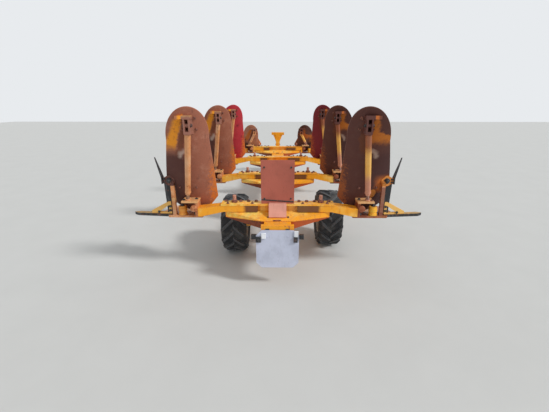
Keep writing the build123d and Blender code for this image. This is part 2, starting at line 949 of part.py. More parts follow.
# Cross shaft that swings on the pivot pin
with BuildPart() as cross_shaft:
    boss_height = neck_height - 2 * ear_thickness - 2 * running_gap
    with BuildSketch(Plane.XY.offset(axis_z - boss_height / 2)):
        with Locations((0, pivot_y)):
            Circle(shaft_boss_radius)
    extrude(amount=boss_height)
    with BuildSketch(Plane.YZ):
        with Locations((pivot_y, axis_z)):
            Rectangle(shaft_arm_depth, shaft_arm_height)
    extrude(amount=shaft_half_length, both=True)
    with BuildSketch(Plane.YZ):
        with Locations((pivot_y, axis_z)):
            Circle(link_collar_radius)
    extrude(amount=shaft_half_length + link_collar_length, both=True)
    with BuildSketch(Plane.YZ):
        with Locations((pivot_y, axis_z)):
            Circle(link_pin_radius)
    extrude(amount=shaft_half_length + link_collar_length + link_pin_length, both=True)
    with BuildSketch(Plane.XY.offset(axis_z - boss_height / 2)):
        with Locations((0, pivot_y)):
            Circle(pivot_pin_radius + seat_gap)
    extrude(amount=boss_height, mode=Mode.SUBTRACT)
finish(cross_shaft.part, "cross_shaft")

# Parking stand: a pinned bracket on the beam's left side and the leg that swings up to the rear
stand_y = beam_front_y - stand_behind_beam_front
stand_z = axis_z
plate_x = -beam_width / 2 - seat_gap
leg_near_x = plate_x - stand_plate_thickness - running_gap
leg_far_x = leg_near_x - stand_tube
with BuildPart() as stand_bracket:
    with BuildSketch(Plane.YZ.offset(plate_x)):
        with Locations((stand_y, stand_z)):
            Rectangle(stand_plate_size, stand_plate_size)
    extrude(amount=-stand_plate_thickness)
    with BuildSketch(Plane.YZ.offset(plate_x)):
        with Locations((stand_y, stand_z)):
            Circle(stand_pin_radius)
    extrude(amount=-(plate_x - leg_far_x + running_gap + stand_washer_thickness))
    with BuildSketch(Plane.YZ.offset(leg_far_x - running_gap)):
        with Locations((stand_y, stand_z)):
            Circle(stand_washer_radius)
    extrude(amount=-stand_washer_thickness)
finish(stand_bracket.part, "stand_bracket")

with BuildPart() as stand_leg:
    with BuildSketch(Plane.YZ.offset(leg_near_x)):
        with Locations((stand_y, stand_z)):
            Circle(stand_eye_radius)
        with Locations((stand_y, stand_z / 2)):
            Rectangle(stand_tube, stand_z)
    extrude(amount=-stand_tube)
    with BuildSketch(Plane.XY):
        with Locations((leg_near_x + running_gap - stand_foot_size / 2, stand_y)):
            Rectangle(stand_foot_size, stand_foot_size)
    extrude(amount=stand_foot_thickness)
    with BuildSketch(Plane.YZ.offset(leg_near_x)):
        with Locations((stand_y, stand_z)):
            Circle(stand_pin_radius + seat_gap)
    extrude(amount=-stand_tube, mode=Mode.SUBTRACT)
finish(stand_leg.part, "stand_leg")
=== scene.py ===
import json
from math import cos, pi, radians, sin

import bmesh
import bpy
from mathutils import Matrix, Vector


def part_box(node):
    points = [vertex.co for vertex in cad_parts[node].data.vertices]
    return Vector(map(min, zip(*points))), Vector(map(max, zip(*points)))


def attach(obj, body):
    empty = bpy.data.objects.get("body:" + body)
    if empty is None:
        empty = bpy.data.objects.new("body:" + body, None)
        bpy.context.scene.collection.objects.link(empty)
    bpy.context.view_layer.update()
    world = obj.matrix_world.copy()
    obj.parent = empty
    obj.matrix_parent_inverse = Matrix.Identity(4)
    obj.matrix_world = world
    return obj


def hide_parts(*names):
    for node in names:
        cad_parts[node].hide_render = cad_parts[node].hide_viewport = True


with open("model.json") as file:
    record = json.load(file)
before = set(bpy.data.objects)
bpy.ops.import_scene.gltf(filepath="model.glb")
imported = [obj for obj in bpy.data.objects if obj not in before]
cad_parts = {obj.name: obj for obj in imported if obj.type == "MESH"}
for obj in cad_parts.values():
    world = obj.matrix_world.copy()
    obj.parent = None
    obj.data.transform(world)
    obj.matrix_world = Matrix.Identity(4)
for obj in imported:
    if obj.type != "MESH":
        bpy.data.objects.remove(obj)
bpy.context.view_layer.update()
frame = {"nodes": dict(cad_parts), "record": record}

# Camera, as the photograph was taken: pixels, metres and degrees
photo_width = 549
focal_pixels = 311
camera_height = 2.0
camera_behind_marker = 3.1
camera_pitch = 18.3
camera_yaw = 0.6
sensor_width = 36

# Lamp and backdrop
key_direction = (0.70, -0.32, 0.64)
key_strength = 2.05
key_softness = 9
world_light = 0.62
world_tint = (0.94, 0.97, 1.0, 1.0)
backdrop_colour = (232, 235, 238)
floor_colour = (206, 206, 203)
floor_size = 60

# Paint, rust and rubber, and the painted shade, sunlight and highlights laid over them, as written in sRGB
orange = (252, 168, 24)
orange_sun_faded = (252, 196, 88)
orange_deep = (214, 116, 22)
chip_rust = (122, 62, 36)
rust_dark = (70, 36, 34)
rust_brown = (162, 99, 76)
rust_pale = (182, 124, 100)
rust_tan = (200, 146, 104)
rust_orange = (212, 116, 34)
pink_rust = (206, 140, 110)
old_patch = (252, 162, 26)
patch_rust = (196, 104, 30)
stay_shadow = (112, 60, 30)
worn_crescent = (196, 172, 158)
scoured_steel = (118, 108, 100)
red_paint = (190, 48, 62)
red_dark = (108, 26, 36)
red_pale = (196, 66, 70)
red_patch = (186, 100, 56)
board_brown = (182, 98, 80)
board_grime = (128, 66, 52)
strip_brown = (228, 160, 140)
strip_grime = (160, 98, 80)
belly_brown = (132, 44, 18)
belly_dark = (78, 28, 18)
belly_orange = (196, 82, 22)
band_pale = (253, 222, 112)
pivot_pink = (212, 148, 122)
peach = (222, 156, 104)
peach_faded = (230, 178, 136)
peach_deep = (176, 104, 66)
bracket_brown = (92, 48, 38)
bracket_orange = (222, 138, 52)
heel_left = (236, 158, 60)
heel_right = (252, 186, 50)
shelf_peach = (232, 178, 118)
cheek_and_shade_brown = (138, 66, 36)
strut_shade = (122, 68, 58)
leg_shade = (82, 42, 30)
head_mauve = (146, 96, 84)
head_tan = (206, 154, 98)
head_shade = (76, 36, 34)
stay_sunlit = (244, 186, 86)
stay_pink = (204, 138, 112)
holder_yellow = (238, 186, 100)
steel_dark = (60, 60, 62)
steel_streak = (92, 92, 94)
steel_worn = (128, 126, 122)
rubber = (30, 31, 34)
rubber_grey = (48, 49, 52)
lug_rubber = (66, 68, 71)
lug_grey = (88, 89, 90)
lug_edge_highlight = (138, 139, 140)
dust = (142, 138, 130)
plate_white = (202, 206, 224)
plate_grime = (150, 148, 156)
reflector_white = (244, 246, 250)
reflector_grime = (200, 200, 204)
rim_grey = (176, 172, 162)
rim_faded = (190, 187, 178)
rim_deep = (120, 112, 100)

# Sizes of what carries the small pieces, as in the solids, in metres; "in" and "out" run across the
# machine from a body's foot, and a rise is from the bodies' lowest point
units = (1, 2, 3, 4)
body_pitch = 1.65
cad_top = {1: 1.96, 2: 1.96, 3: 1.96, 4: 1.46}
board_lean_in = 0.132
board_inner_edge = -0.20
head_plate_ahead = 0.060
belly_line = 0.742
plate_seam_z = 0.745
plate_end_x = 0.60
plate_belly_x = 0.18
pivot_bolt_x = 0.5
pivot_bolt_height = 0.085
sole_beyond_foot = 0.330
sole_rise = 0.024
cheek_in = 0.1147
cheek_half = 0.015
shelf_rise = 0.2232
shelf_in = 0.046
heel_out = 0.070
heel_ahead = 0.022
heel_height = 0.110
strut_out = 0.163
strut_half = 0.020
wing_bracket_out = 0.190
wing_bracket_rise = 0.440
stay_foot_in = 0.020
stay_foot_behind = 0.044
stay_foot_rise = 0.2233
stay_rod_length = 0.110
stay_head_in = 0.172
stay_head_half = 0.033
stay_head_drop = 0.250
stay_head_depth = 0.062
stay_head_middle = 0.089
stay_slot_middle = 0.084
stay_tube_end = 0.031
marker_strap_x = 0.110
marker_bar_z = 0.625
mast_arm_height = 0.070
mast_post_width = 0.110

# Tyres and wheels
lug_height = 0.024
lug_count = 14
lug_length = 0.205
lug_thickness = 0.042
lug_angle = radians(42)
lug_middle = 0.082
wheel_nuts = 8
wheel_nut_circle = 0.106

unit_y = {k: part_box(f"head_plate_{k}")[1][1] - head_plate_ahead for k in units}
unit_reach = {k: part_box(f"frogs_{k}")[1][0] - sole_beyond_foot for k in units}
unit_top = {k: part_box(f"mouldboard_right_{k}")[1][2] for k in units}
base_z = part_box("frogs_1")[0][2]
flange_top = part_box("head_plate_1")[1][2] - pivot_bolt_height


def linear(colour):
    """An sRGB colour of 0 to 255 as the renderer's own numbers."""
    parts = []
    for value in colour:
        v = value / 255
        parts.append(v / 12.92 if v <= 0.04045 else ((v + 0.055) / 1.055) ** 2.4)
    return (*parts, 1.0)


finishes = {}


class Finish:
    """One material, built up from sockets in object space."""

    def __init__(self, name):
        self.name = name
        self.material = bpy.data.materials.new(name)
        self.material.use_nodes = True
        self.nodes = self.material.node_tree.nodes
        self.links = self.material.node_tree.links
        self.nodes.clear()
        output = self.node("OutputMaterial")
        self.shader = self.node("BsdfPrincipled")
        self.links.new(self.shader.outputs[0], output.inputs[0])
        coordinates = self.node("TexCoord").outputs
        self.place = coordinates["Object"]
        self.x, self.y, self.z = self.parts(self.place)
        _, self.normal_y, self.normal_z = self.parts(coordinates["Normal"])
        # 0 on the machine's left half, 1 on its right
        self.right = self.span(self.x, -0.1, 0.1)

    def join(self, value, socket):
        """Link a socket, or set a number or an sRGB colour."""
        if isinstance(value, bpy.types.NodeSocket):
            self.links.new(value, socket)
        elif isinstance(value, (tuple, list)) and len(value) == 3 and socket.type == "RGBA":
            socket.default_value = linear(value)
        else:
            socket.default_value = value

    def node(self, kind, **inputs):
        """A new node of this kind, with values or links for its inputs."""
        node = self.nodes.new(f"ShaderNode{kind}")
        for name, value in inputs.items():
            self.join(value, node.inputs[name])
        return node

    def parts(self, vector):
        return self.node("SeparateXYZ", Vector=vector).outputs

    def math(self, operation, first, second=0.0):
        node = self.node("Math")
        node.operation = operation
        self.join(first, node.inputs[0])
        self.join(second, node.inputs[1])
        return node.outputs[0]

    def times(self, first, *others):
        for other in others:
            first = self.math("MULTIPLY", first, other)
        return first

    def plus(self, first, *others):
        for other in others:
            first = self.math("ADD", first, other)
        return first

    def minus(self, first, second):
        return self.math("SUBTRACT", first, second)

    def noise(self, scale, detail=6.0, roughness=0.6, distortion=0.0, vector=None):
        node = self.node(
            "TexNoise", Vector=vector or self.place, Scale=scale, Detail=detail,
            Roughness=roughness, Distortion=distortion,
        )
        return node.outputs["Fac"]

    def streaks(self, scales, detail=5.0, roughness=0.6):
        """Noise that is drawn out along the axis of the smallest scale."""
        node = self.node("Mapping", Vector=self.place, Scale=scales)
        return self.noise(1.0, detail, roughness, vector=node.outputs[0])

    def span(self, value, low, high):
        """0 where value is under low, 1 where it is over high; low may be the larger."""
        node = self.node("MapRange")
        node.interpolation_type = "SMOOTHSTEP"
        self.join(value, node.inputs["Value"])
        flipped = low > high
        node.inputs["From Min"].default_value = min(low, high)
        node.inputs["From Max"].default_value = max(low, high)
        node.inputs["To Min"].default_value = 1.0 if flipped else 0.0
        node.inputs["To Max"].default_value = 0.0 if flipped else 1.0
        return node.outputs["Result"]

    def blend(self, first, second, *shares):
        """The second colour over the first, as far as the product of the shares."""
        node = self.node("Mix")
        node.data_type = "RGBA"
        self.join(self.times(*shares), node.inputs["Factor"])
        self.join(first, node.inputs["A"])
        self.join(second, node.inputs["B"])
        return node.outputs["Result"]

    def worn_edges(self, radius, low, high):
        """Near 1 on convex edges and corners, from the angle between true and rounded normals."""
        bevel = self.node("Bevel", Radius=radius)
        bevel.samples = 4
        true = self.node("NewGeometry").outputs["True Normal"]
        dot = self.node("VectorMath")
        dot.operation = "DOT_PRODUCT"
        self.links.new(bevel.outputs[0], dot.inputs[0])
        self.links.new(true, dot.inputs[1])
        return self.span(dot.outputs["Value"], high, low)

    def finish(self, colour, roughness, height=None, bump=0.3, depth=0.002, metallic=0.0):
        self.join(colour, self.shader.inputs["Base Color"])
        self.join(roughness, self.shader.inputs["Roughness"])
        self.join(metallic, self.shader.inputs["Metallic"])
        if height is not None:
            node = self.node("Bump", Strength=bump, Distance=depth, Height=height)
            self.links.new(node.outputs[0], self.shader.inputs["Normal"])
        finishes[self.name] = self.material


def painted(name, colour, faded, deep, wear=0.0, mask=None):
    """Old machine paint: sun-faded patches, rust chips, worn edges, runs of grime and dust."""
    f = Finish(name)
    fine = f.noise(46.0, 8.0, 0.7)
    base = f.blend(colour, faded, f.span(f.noise(3.2, 4.0), 0.48, 0.66))
    base = f.blend(base, deep, f.span(f.streaks((34, 34, 3.0)), 0.52, 0.72), 0.55)
    patchy = f.plus(f.times(f.noise(9.0, 9.0, 0.72, 0.4), 0.7), f.times(fine, 0.3))
    chips = f.span(patchy, 0.60 - wear, 0.635 - wear)
    edges = f.times(f.worn_edges(0.006, 0.80, 0.96), f.span(fine, 0.36, 0.56))
    bare = f.math("MAXIMUM", chips, edges)
    rust = f.blend(chip_rust, pink_rust, f.span(f.noise(70.0, 4.0), 0.42, 0.62))
    base = f.blend(base, rust, bare)
    halo = f.times(f.span(patchy, 0.52 - wear, 0.60 - wear), 0.35)
    base = f.blend(base, rust_orange, halo)
    if mask:
        base = mask(f, base, fine)
    upward = f.span(f.normal_z, 0.55, 0.95)
    lying = f.times(upward, f.span(f.noise(14.0, 7.0, 0.7), 0.40, 0.72))
    base = f.blend(base, dust, lying, 0.30)
    rough = f.plus(f.times(bare, 0.28), f.times(fine, 0.3), 0.28)
    height = f.minus(f.times(fine, 0.25), f.times(bare, 0.8))
    f.finish(base, rough, height, 0.45, 0.0012)


def head_plate_shades(f, base, fine):
    """Sun-bleached on the left of the band, bare under it, pink rust on the upright pivots."""
    bleach = f.times(f.span(f.x, 0.05, -0.30), f.span(f.noise(11.0, 7.0, 0.7), 0.40, 0.60))
    base = f.blend(base, band_pale, bleach, 0.75)
    ragged = f.plus(f.z, f.times(fine, 0.006))
    bare = f.span(ragged, belly_line + 0.006, belly_line)
    belly = f.blend(belly_brown, belly_dark, f.span(fine, 0.45, 0.65))
    belly = f.blend(belly, belly_orange, f.span(f.x, -0.05, 0.10), 0.6)
    base = f.blend(base, belly, bare, 0.95)
    pivot = f.span(f.z, flange_top + 0.006, flange_top + 0.014)
    return f.blend(base, f.blend(pivot_pink, chip_rust, f.span(fine, 0.50, 0.66)), pivot)


def shaded_leg(f, base, fine):
    """The stretch of a leg deep inside its head plate is darker as painted shade under the plate, and longer
    on the right.
    """
    side = f.plus(f.math("ABSOLUTE", f.x), f.times(fine, 0.05))
    inside = f.minus(f.plus(0.40, f.times(f.right, 0.10)), side)
    return f.blend(base, leg_shade, f.span(inside, -0.03, 0.02), 0.88)


def frog_shades(f, base, fine):
    """Each side's colours for sole, shelf, heel, strut, cheek and bracket, the right's sole, strut and cheek
    darkened by painted shade.
    """
    above = f.plus(f.minus(f.z, base_z), f.times(fine, 0.01))
    at_front = f.math("GREATER_THAN", f.y, unit_y[4] - 0.5)
    narrower = f.times(at_front, unit_reach[1] - unit_reach[4])
    out = f.plus(f.minus(f.math("ABSOLUTE", f.x), unit_reach[1]), narrower)

    def within(value, low, high):
        soft = 0.003
        return f.times(f.span(value, low - soft, low + soft), f.span(value, high + soft, high - soft))

    rust = f.span(fine, 0.50, 0.66)
    # Painted shade: the sole is darker on the right
    base = f.blend(base, cheek_and_shade_brown, f.span(above, 0.036, 0.030), f.right, 0.75)
    shelf_paint = f.blend(shelf_peach, peach_deep, rust, 0.6)
    base = f.blend(base, shelf_paint, within(above, 0.198, 0.240), 0.8)
    heel = f.times(within(above, 0.030, 0.140), within(out, 0.012, 0.128))
    heel_paint = f.blend(heel_left, heel_right, f.right)
    base = f.blend(base, f.blend(heel_paint, orange_deep, rust, 0.7), heel)
    # Painted shade: the strut is brown on the right only
    strut = f.times(within(above, 0.030, 0.372), within(out, 0.136, 0.190))
    base = f.blend(base, strut_shade, strut, f.right, 0.8)
    # The cheek is brown, and darker on the right as painted shade
    cheek = f.times(f.span(above, 0.196, 0.186), f.span(out, 0.0, -0.01))
    base = f.blend(base, cheek_and_shade_brown, cheek, f.plus(0.25, f.times(f.right, 0.67)))
    bracket = f.blend(bracket_brown, bracket_orange, f.right)
    bracket = f.blend(bracket, f.blend(pink_rust, chip_rust, f.right), rust, 0.45)
    return f.blend(base, bracket, f.span(above, 0.376, 0.390))


def stay_shades(k):
    """Slotted heads in rust; on the right, painted shade on heads and bars, and painted sun and shadow up the
    tubes.
    """
    head_outer = unit_reach[k] - stay_head_in + 0.046

    def shades(f, base, fine):
        height = f.math("DIVIDE", f.minus(f.z, base_z), cad_top[k] - base_z)
        height = f.plus(height, f.times(f.minus(fine, 0.5), 0.05))
        out = f.minus(f.math("ABSOLUTE", f.x), head_outer)
        # On the right stays, painted light and shade up the tube: pink low down, yellow sunlight on the
        # middle, the mouldboard's shadow in brown above
        tube = f.blend(stay_pink, stay_sunlit, f.span(height, 0.37, 0.48))
        tube = f.blend(tube, cheek_and_shade_brown, f.span(height, 0.60, 0.72))
        base = f.blend(base, tube, f.right, 0.85)
        head = f.blend(head_mauve, head_tan, f.span(height, 0.925, 0.945))
        # Painted shade: the heads are dark on the right
        head = f.blend(head, head_shade, f.right)
        head = f.blend(head, chip_rust, f.span(fine, 0.50, 0.66), 0.4)
        base = f.blend(base, head, f.span(height, 0.785, 0.800), 0.9)
        # Painted shade: the bar is darker on the right, and dark at its end there
        bar = f.blend(old_patch, patch_rust, f.right)
        bar_end = f.blend(rust_brown, head_shade, f.right)
        bar = f.blend(bar, bar_end, f.span(out, 0.02, 0.05), 0.85)
        return f.blend(base, bar, f.span(out, -0.002, 0.004), f.span(height, 0.90, 0.91))

    return shades


def ellipse(f, across, along, half_across=1.0, half_along=1.0):
    """1 at the rim of an ellipse, less inside it; with no halves, the distance from its centre."""
    a = f.math("DIVIDE", across, half_across)
    b = f.math("DIVIDE", along, half_along)
    return f.math("SQRT", f.plus(f.times(a, a), f.times(b, b)))


def rusted_board(name, k, dark, brown, pale, patch):
    """Mouldboard of unit k: rusty back with old paint beside the stay, and a soil-scoured front."""
    f = Finish(name)
    reach, top = unit_reach[k], cad_top[k]
    side = f.math("ABSOLUTE", f.x)
    lean = f.minus(f.plus(side, f.times(f.z, board_lean_in)), reach)

    def sided(on_left, on_right):
        """One value on the left boards and another on the right ones."""
        return f.plus(on_left, f.times(f.right, on_right - on_left))

    fine = f.noise(60.0, 8.0, 0.72)
    base = f.blend(brown, dark, f.span(f.noise(4.0), 0.40, 0.30), 0.6)
    base = f.blend(base, pale, f.span(f.noise(7.0, 8.0, 0.7), 0.48, 0.66), 0.7)
    base = f.blend(base, dark, f.span(f.streaks((30, 30, 2.2)), 0.57, 0.74), 0.4)
    base = f.blend(base, dark, f.span(f.noise(150.0, 5.0, 0.7), 0.50, 0.66), 0.35)
    # Painted shade: the outer half is darker below the old paint, and the right boards are darker all over
    ragged_x = f.plus(lean, f.times(f.minus(f.noise(6.0, 7.0, 0.7), 0.5), 0.16))
    outer = f.times(f.span(ragged_x, 0.06, 0.17), f.span(f.z, top - 0.40, top - 0.52))
    base = f.blend(base, dark, outer, 0.85)
    base = f.blend(base, dark, f.right, 0.86)
    # Old paint: a band beside the stay's head that spreads to the outer edge below, in a step on the right
    wander = f.times(f.minus(f.noise(11.0, 8.0, 0.75), 0.5), 0.20)
    out = f.plus(f.minus(side, reach), wander)
    down = f.plus(f.minus(top, f.z), wander)
    inner = f.minus(out, f.plus(-0.168, f.times(down, sided(0.42, 0.10))))
    step = f.times(f.span(f.minus(down, sided(0.0, 0.05)), 0.16, 0.26), sided(0.0, 0.25))
    outer_limit = f.plus(sided(-0.118, -0.065), step, f.times(down, sided(0.64, 0.0)))
    lower = f.span(f.plus(down, sided(0.0, 0.06)), 0.45, 0.35)
    band = f.times(f.span(inner, -0.010, 0.018), f.span(f.minus(outer_limit, out), -0.020, 0.03))
    band = f.times(band, f.span(down, 0.06, 0.10), lower)
    shadow = f.times(f.span(inner, 0.0, -0.02), f.span(inner, -0.085, -0.055))
    shadow = f.times(shadow, f.span(down, 0.08, 0.14), f.span(down, 0.50, 0.40))
    base = f.blend(base, stay_shadow, shadow, 0.7)
    paint = f.blend(patch, patch_rust, f.span(f.noise(26.0, 7.0), 0.52, 0.74))
    # Painted shade: the old paint is darker on the right boards
    paint = f.blend(paint, patch_rust, f.right, 0.75)
    paint = f.blend(paint, dark, f.right, 0.10)
    base = f.blend(base, paint, band, 0.92)
    # A pale worn crescent under it, which opens down and inward
    scuff = f.times(wander, 0.35)
    moon_x = f.minus(f.plus(side, scuff), reach - 0.088)
    moon_z = f.minus(f.plus(f.z, scuff), top - 0.512)
    full = ellipse(f, moon_x, moon_z, 0.098, 0.112)
    bite = ellipse(f, f.plus(moon_x, 0.030), f.plus(moon_z, 0.034), 0.098, 0.112)
    moon = f.times(f.span(full, 1.10, 0.75), f.span(bite, 0.75, 1.10))
    moon = f.times(moon, f.span(moon_x, -0.01, 0.02), f.span(moon_z, -0.02, 0.02), sided(0.85, 0.60))
    base = f.blend(base, worn_crescent, moon)
    # The right boards have painted sunlight in orange on the outer part beside the wing bracket, and keep a
    # round orange patch beside the stay's foot
    sunlit_corner = f.times(f.span(ragged_x, 0.16, 0.26), f.right, f.span(f.z, 1.26, 1.16), f.span(f.z, 0.98, 1.04))
    base = f.blend(base, patch_rust, sunlit_corner, 0.85)
    spot = ellipse(f, f.minus(side, reach + 0.052), f.minus(f.z, top - 0.965), 0.048, 0.058)
    base = f.blend(base, bracket_orange, f.span(spot, 1.06, 0.90), f.right, 0.75)
    # Fresh orange rust, speckled, along the lower inner edge
    near_edge = f.span(lean, board_inner_edge + 0.16, board_inner_edge)
    low = f.times(f.span(f.z, 1.50, 1.22), f.span(f.z, 0.62, 0.8))
    speckle = f.span(f.plus(f.times(near_edge, 0.26), f.noise(38.0, 8.0, 0.75)), 0.60, 0.75)
    speckle = f.times(speckle, f.span(near_edge, 0.02, 0.3), low, sided(0.9, 0.4))
    base = f.blend(base, rust_orange, speckle)
    edges = f.times(f.worn_edges(0.004, 0.7, 0.95), f.span(fine, 0.3, 0.6))
    base = f.blend(base, pink_rust, edges, 0.7)
    # The front is scoured by soil along its length and has only a thin film of rust
    front = f.span(f.normal_y, 0.05, 0.3)
    scour = f.streaks((130, 130, 3.0), 6.0, 0.65)
    film = f.span(f.noise(5.0, 8.0, 0.7), 0.42, 0.68)
    bare = f.blend(scoured_steel, steel_worn, f.span(scour, 0.4, 0.62))
    base = f.blend(base, f.blend(bare, rust_brown, film, 0.65), front)
    rough = f.minus(f.plus(0.62, f.times(fine, 0.3)), f.times(front, 0.3))
    metal = f.times(front, f.minus(0.75, f.times(film, 0.6)))
    height = f.plus(f.times(fine, 0.5), f.times(scour, 0.15))
    f.finish(base, rough, height, 0.4, 0.0012, metal)


def streaked_steel(f, fine, dark, worn, rust_share, rust_strength=1.0):
    """Steel with pale streaks and patches of rust: its colour, and where the rust is."""
    base = f.blend(dark, worn, f.span(f.streaks((40, 40, 6)), 0.46, 0.70))
    patches = f.span(f.noise(11.0, 8.0, 0.7), 0.62 - rust_share, 0.72 - rust_share)
    rust = f.blend(rust_dark, rust_brown, f.span(fine, 0.4, 0.6))
    return f.blend(base, rust, patches, rust_strength), patches


def worn_steel(name, dark, worn, rust_share):
    """Streaked steel, polished along its edges."""
    f = Finish(name)
    fine = f.noise(55.0, 8.0, 0.7)
    base, patches = streaked_steel(f, fine, dark, worn, rust_share)
    base = f.blend(base, steel_worn, f.worn_edges(0.005, 0.75, 0.95), 0.5)
    rough = f.plus(0.36, f.times(f.plus(patches, fine), 0.22))
    f.finish(base, rough, fine, 0.4, 0.001, f.times(f.minus(1.0, patches), 0.65))


def share_steel(name):
    """Dark steel, with yellow paint on the three-cornered point holders."""
    f = Finish(name)
    fine = f.noise(55.0, 8.0, 0.7)
    base, patches = streaked_steel(f, fine, steel_dark, steel_streak, 0.06, 0.8)
    # How far forward of its own pair's station a point lies
    ahead = f.minus(f.y, unit_y[1])
    nearest = f.math("ROUND", f.math("DIVIDE", ahead, body_pitch))
    ahead = f.minus(ahead, f.times(nearest, body_pitch))
    above = f.plus(f.minus(f.z, base_z), f.times(fine, 0.004))
    holder = f.times(f.span(ahead, 0.115, 0.105), f.span(above, 0.034, 0.038), f.span(above, 0.22, 0.20))
    worn = f.span(f.noise(24.0, 8.0, 0.72), 0.60, 0.68)
    yellow = f.blend(holder_yellow, f.blend(orange_deep, chip_rust, f.span(fine, 0.4, 0.6)), worn)
    base = f.blend(base, yellow, holder)
    plain = f.minus(1.0, f.math("MAXIMUM", patches, holder))
    f.finish(base, f.minus(0.72, f.times(plain, 0.3)), fine, 0.4, 0.001, f.times(plain, 0.6))


def dusty_rubber(name, wheel=None):
    """Black rubber, dusty and greyer on the lugs, painted shade in the channels and painted highlights on lug
    edges; wheel is (centre, radius of the tread).
    """
    f = Finish(name)
    fine = f.noise(90.0, 6.0, 0.7)
    grain = f.span(fine, 0.4, 0.7)
    base = f.blend(rubber, rubber_grey, grain)
    if wheel:
        centre, tread = wheel
        # Painted shade: the rubber is darker in the channels between the lugs than on the lugs
        away = ellipse(f, f.minus(f.y, centre.y), f.minus(f.z, centre.z))
        base = f.blend(base, f.blend(lug_rubber, lug_grey, grain), f.span(away, tread + 0.004, tread + 0.016))
    base = f.blend(base, dust, f.span(f.noise(7.0, 7.0, 0.65), 0.45, 0.70), 0.24)
    # Painted highlights on the edges of the lugs and side walls
    base = f.blend(base, lug_edge_highlight, f.worn_edges(0.008, 0.75, 0.95), 0.7)
    f.finish(base, f.plus(0.64, f.times(fine, 0.25)), fine, 0.35, 0.001)


def plain_plate(name, colour, grime, rough):
    """A flat painted sheet with faint scratches, stains and dirty edges."""
    f = Finish(name)
    fine = f.noise(80.0, 6.0, 0.7)
    scratch = f.streaks((160, 10, 14), 4.0, 0.5)
    base = f.blend(colour, tuple(int(c * 0.93) for c in colour), f.span(f.noise(5.0), 0.42, 0.68))
    base = f.blend(base, grime, f.span(scratch, 0.62, 0.72), 0.45)
    base = f.blend(base, grime, f.span(f.noise(12.0, 8.0, 0.75), 0.58, 0.72), 0.25)
    base = f.blend(base, grime, f.worn_edges(0.006, 0.7, 0.95), 0.5)
    f.finish(base, f.plus(rough, f.times(fine, 0.2)), fine, 0.2, 0.0008)


def plain_ground(name):
    """Matte floor with faint clouds."""
    f = Finish(name)
    f.finish(f.blend(floor_colour, tuple(c - 8 for c in floor_colour), f.noise(2.0, 5.0)), 0.9)


orange_masks = {"orange_paint": None, "head_plate_paint": head_plate_shades, "leg_paint": shaded_leg}
for name, mask in orange_masks.items():
    painted(name, orange, orange_sun_faded, orange_deep, mask=mask)
painted("frog_paint", peach, peach_faded, peach_deep, 0.06, frog_shades)
for name, k in (("stay_paint", 1), ("stay_paint_front", 4)):
    painted(name, peach, peach_faded, peach_deep, 0.04, stay_shades(k))
painted("rim_paint", rim_grey, rim_faded, rim_deep)
rusted_board("rust_plate", 1, rust_dark, rust_brown, rust_pale, old_patch)
rusted_board("red_plate", 1, red_dark, red_paint, red_pale, red_patch)
rusted_board("rust_plate_front", 4, rust_dark, rust_pale, rust_tan, patch_rust)
plain_plate("brown_paint", board_brown, board_grime, 0.62)
plain_plate("pale_brown", strip_brown, strip_grime, 0.62)
plain_plate("white_plate", plate_white, plate_grime, 0.42)
plain_plate("clean_white", reflector_white, reflector_grime, 0.3)
worn_steel("rusty_bolt", rust_dark, rust_brown, 0.30)
worn_steel("dark_steel", steel_dark, steel_streak, 0.06)
share_steel("share_steel")
dusty_rubber("tyre")
plain_ground("floor")

# Nodes whose finish isn't simply that of their material slot
own_finish = {
    "head_plate": "head_plate_paint",
    "legs": "leg_paint",
    "frogs": "frog_paint",
    "shares": "share_steel",
    "stays": "stay_paint",
    "stays_4": "stay_paint_front",
    "mouldboard_left_4": "rust_plate_front",
    "mouldboard_right_4": "rust_plate_front",
    "foot_strip": "pale_brown",
}
for subpart in frame["record"]["subparts"]:
    node = subpart["node"]
    kind = own_finish.get(node.rstrip("_1234"), subpart["material_slot"])
    materials = frame["nodes"][node].data.materials
    materials.clear()
    materials.append(finishes[own_finish.get(node, kind)])


hands = (("left", -1), ("right", 1))
sides_of_beam = (-1, 1)
forward = (0, 1, 0)
rearward = (0, -1, 0)


def placed(point, direction=(0, 0, 1), turn=0.0):
    """A place whose local z axis points in the given direction."""
    lie = Vector(direction).to_track_quat("Z", "Y").to_matrix().to_4x4()
    return Matrix.Translation(point) @ lie @ Matrix.Rotation(turn, 4, "Z")


def scene_object(name, data):
    """A new object in the scene."""
    obj = bpy.data.objects.new(name, data)
    bpy.context.scene.collection.objects.link(obj)
    return obj


def turns(count):
    """Evenly spaced angles, once round."""
    return [2 * pi * index / count for index in range(count)]


def around(where, radius, angle, height=0.0):
    """The point at this radius, angle and height about the place's z axis."""
    return where @ Vector((radius * cos(angle), radius * sin(angle), height))


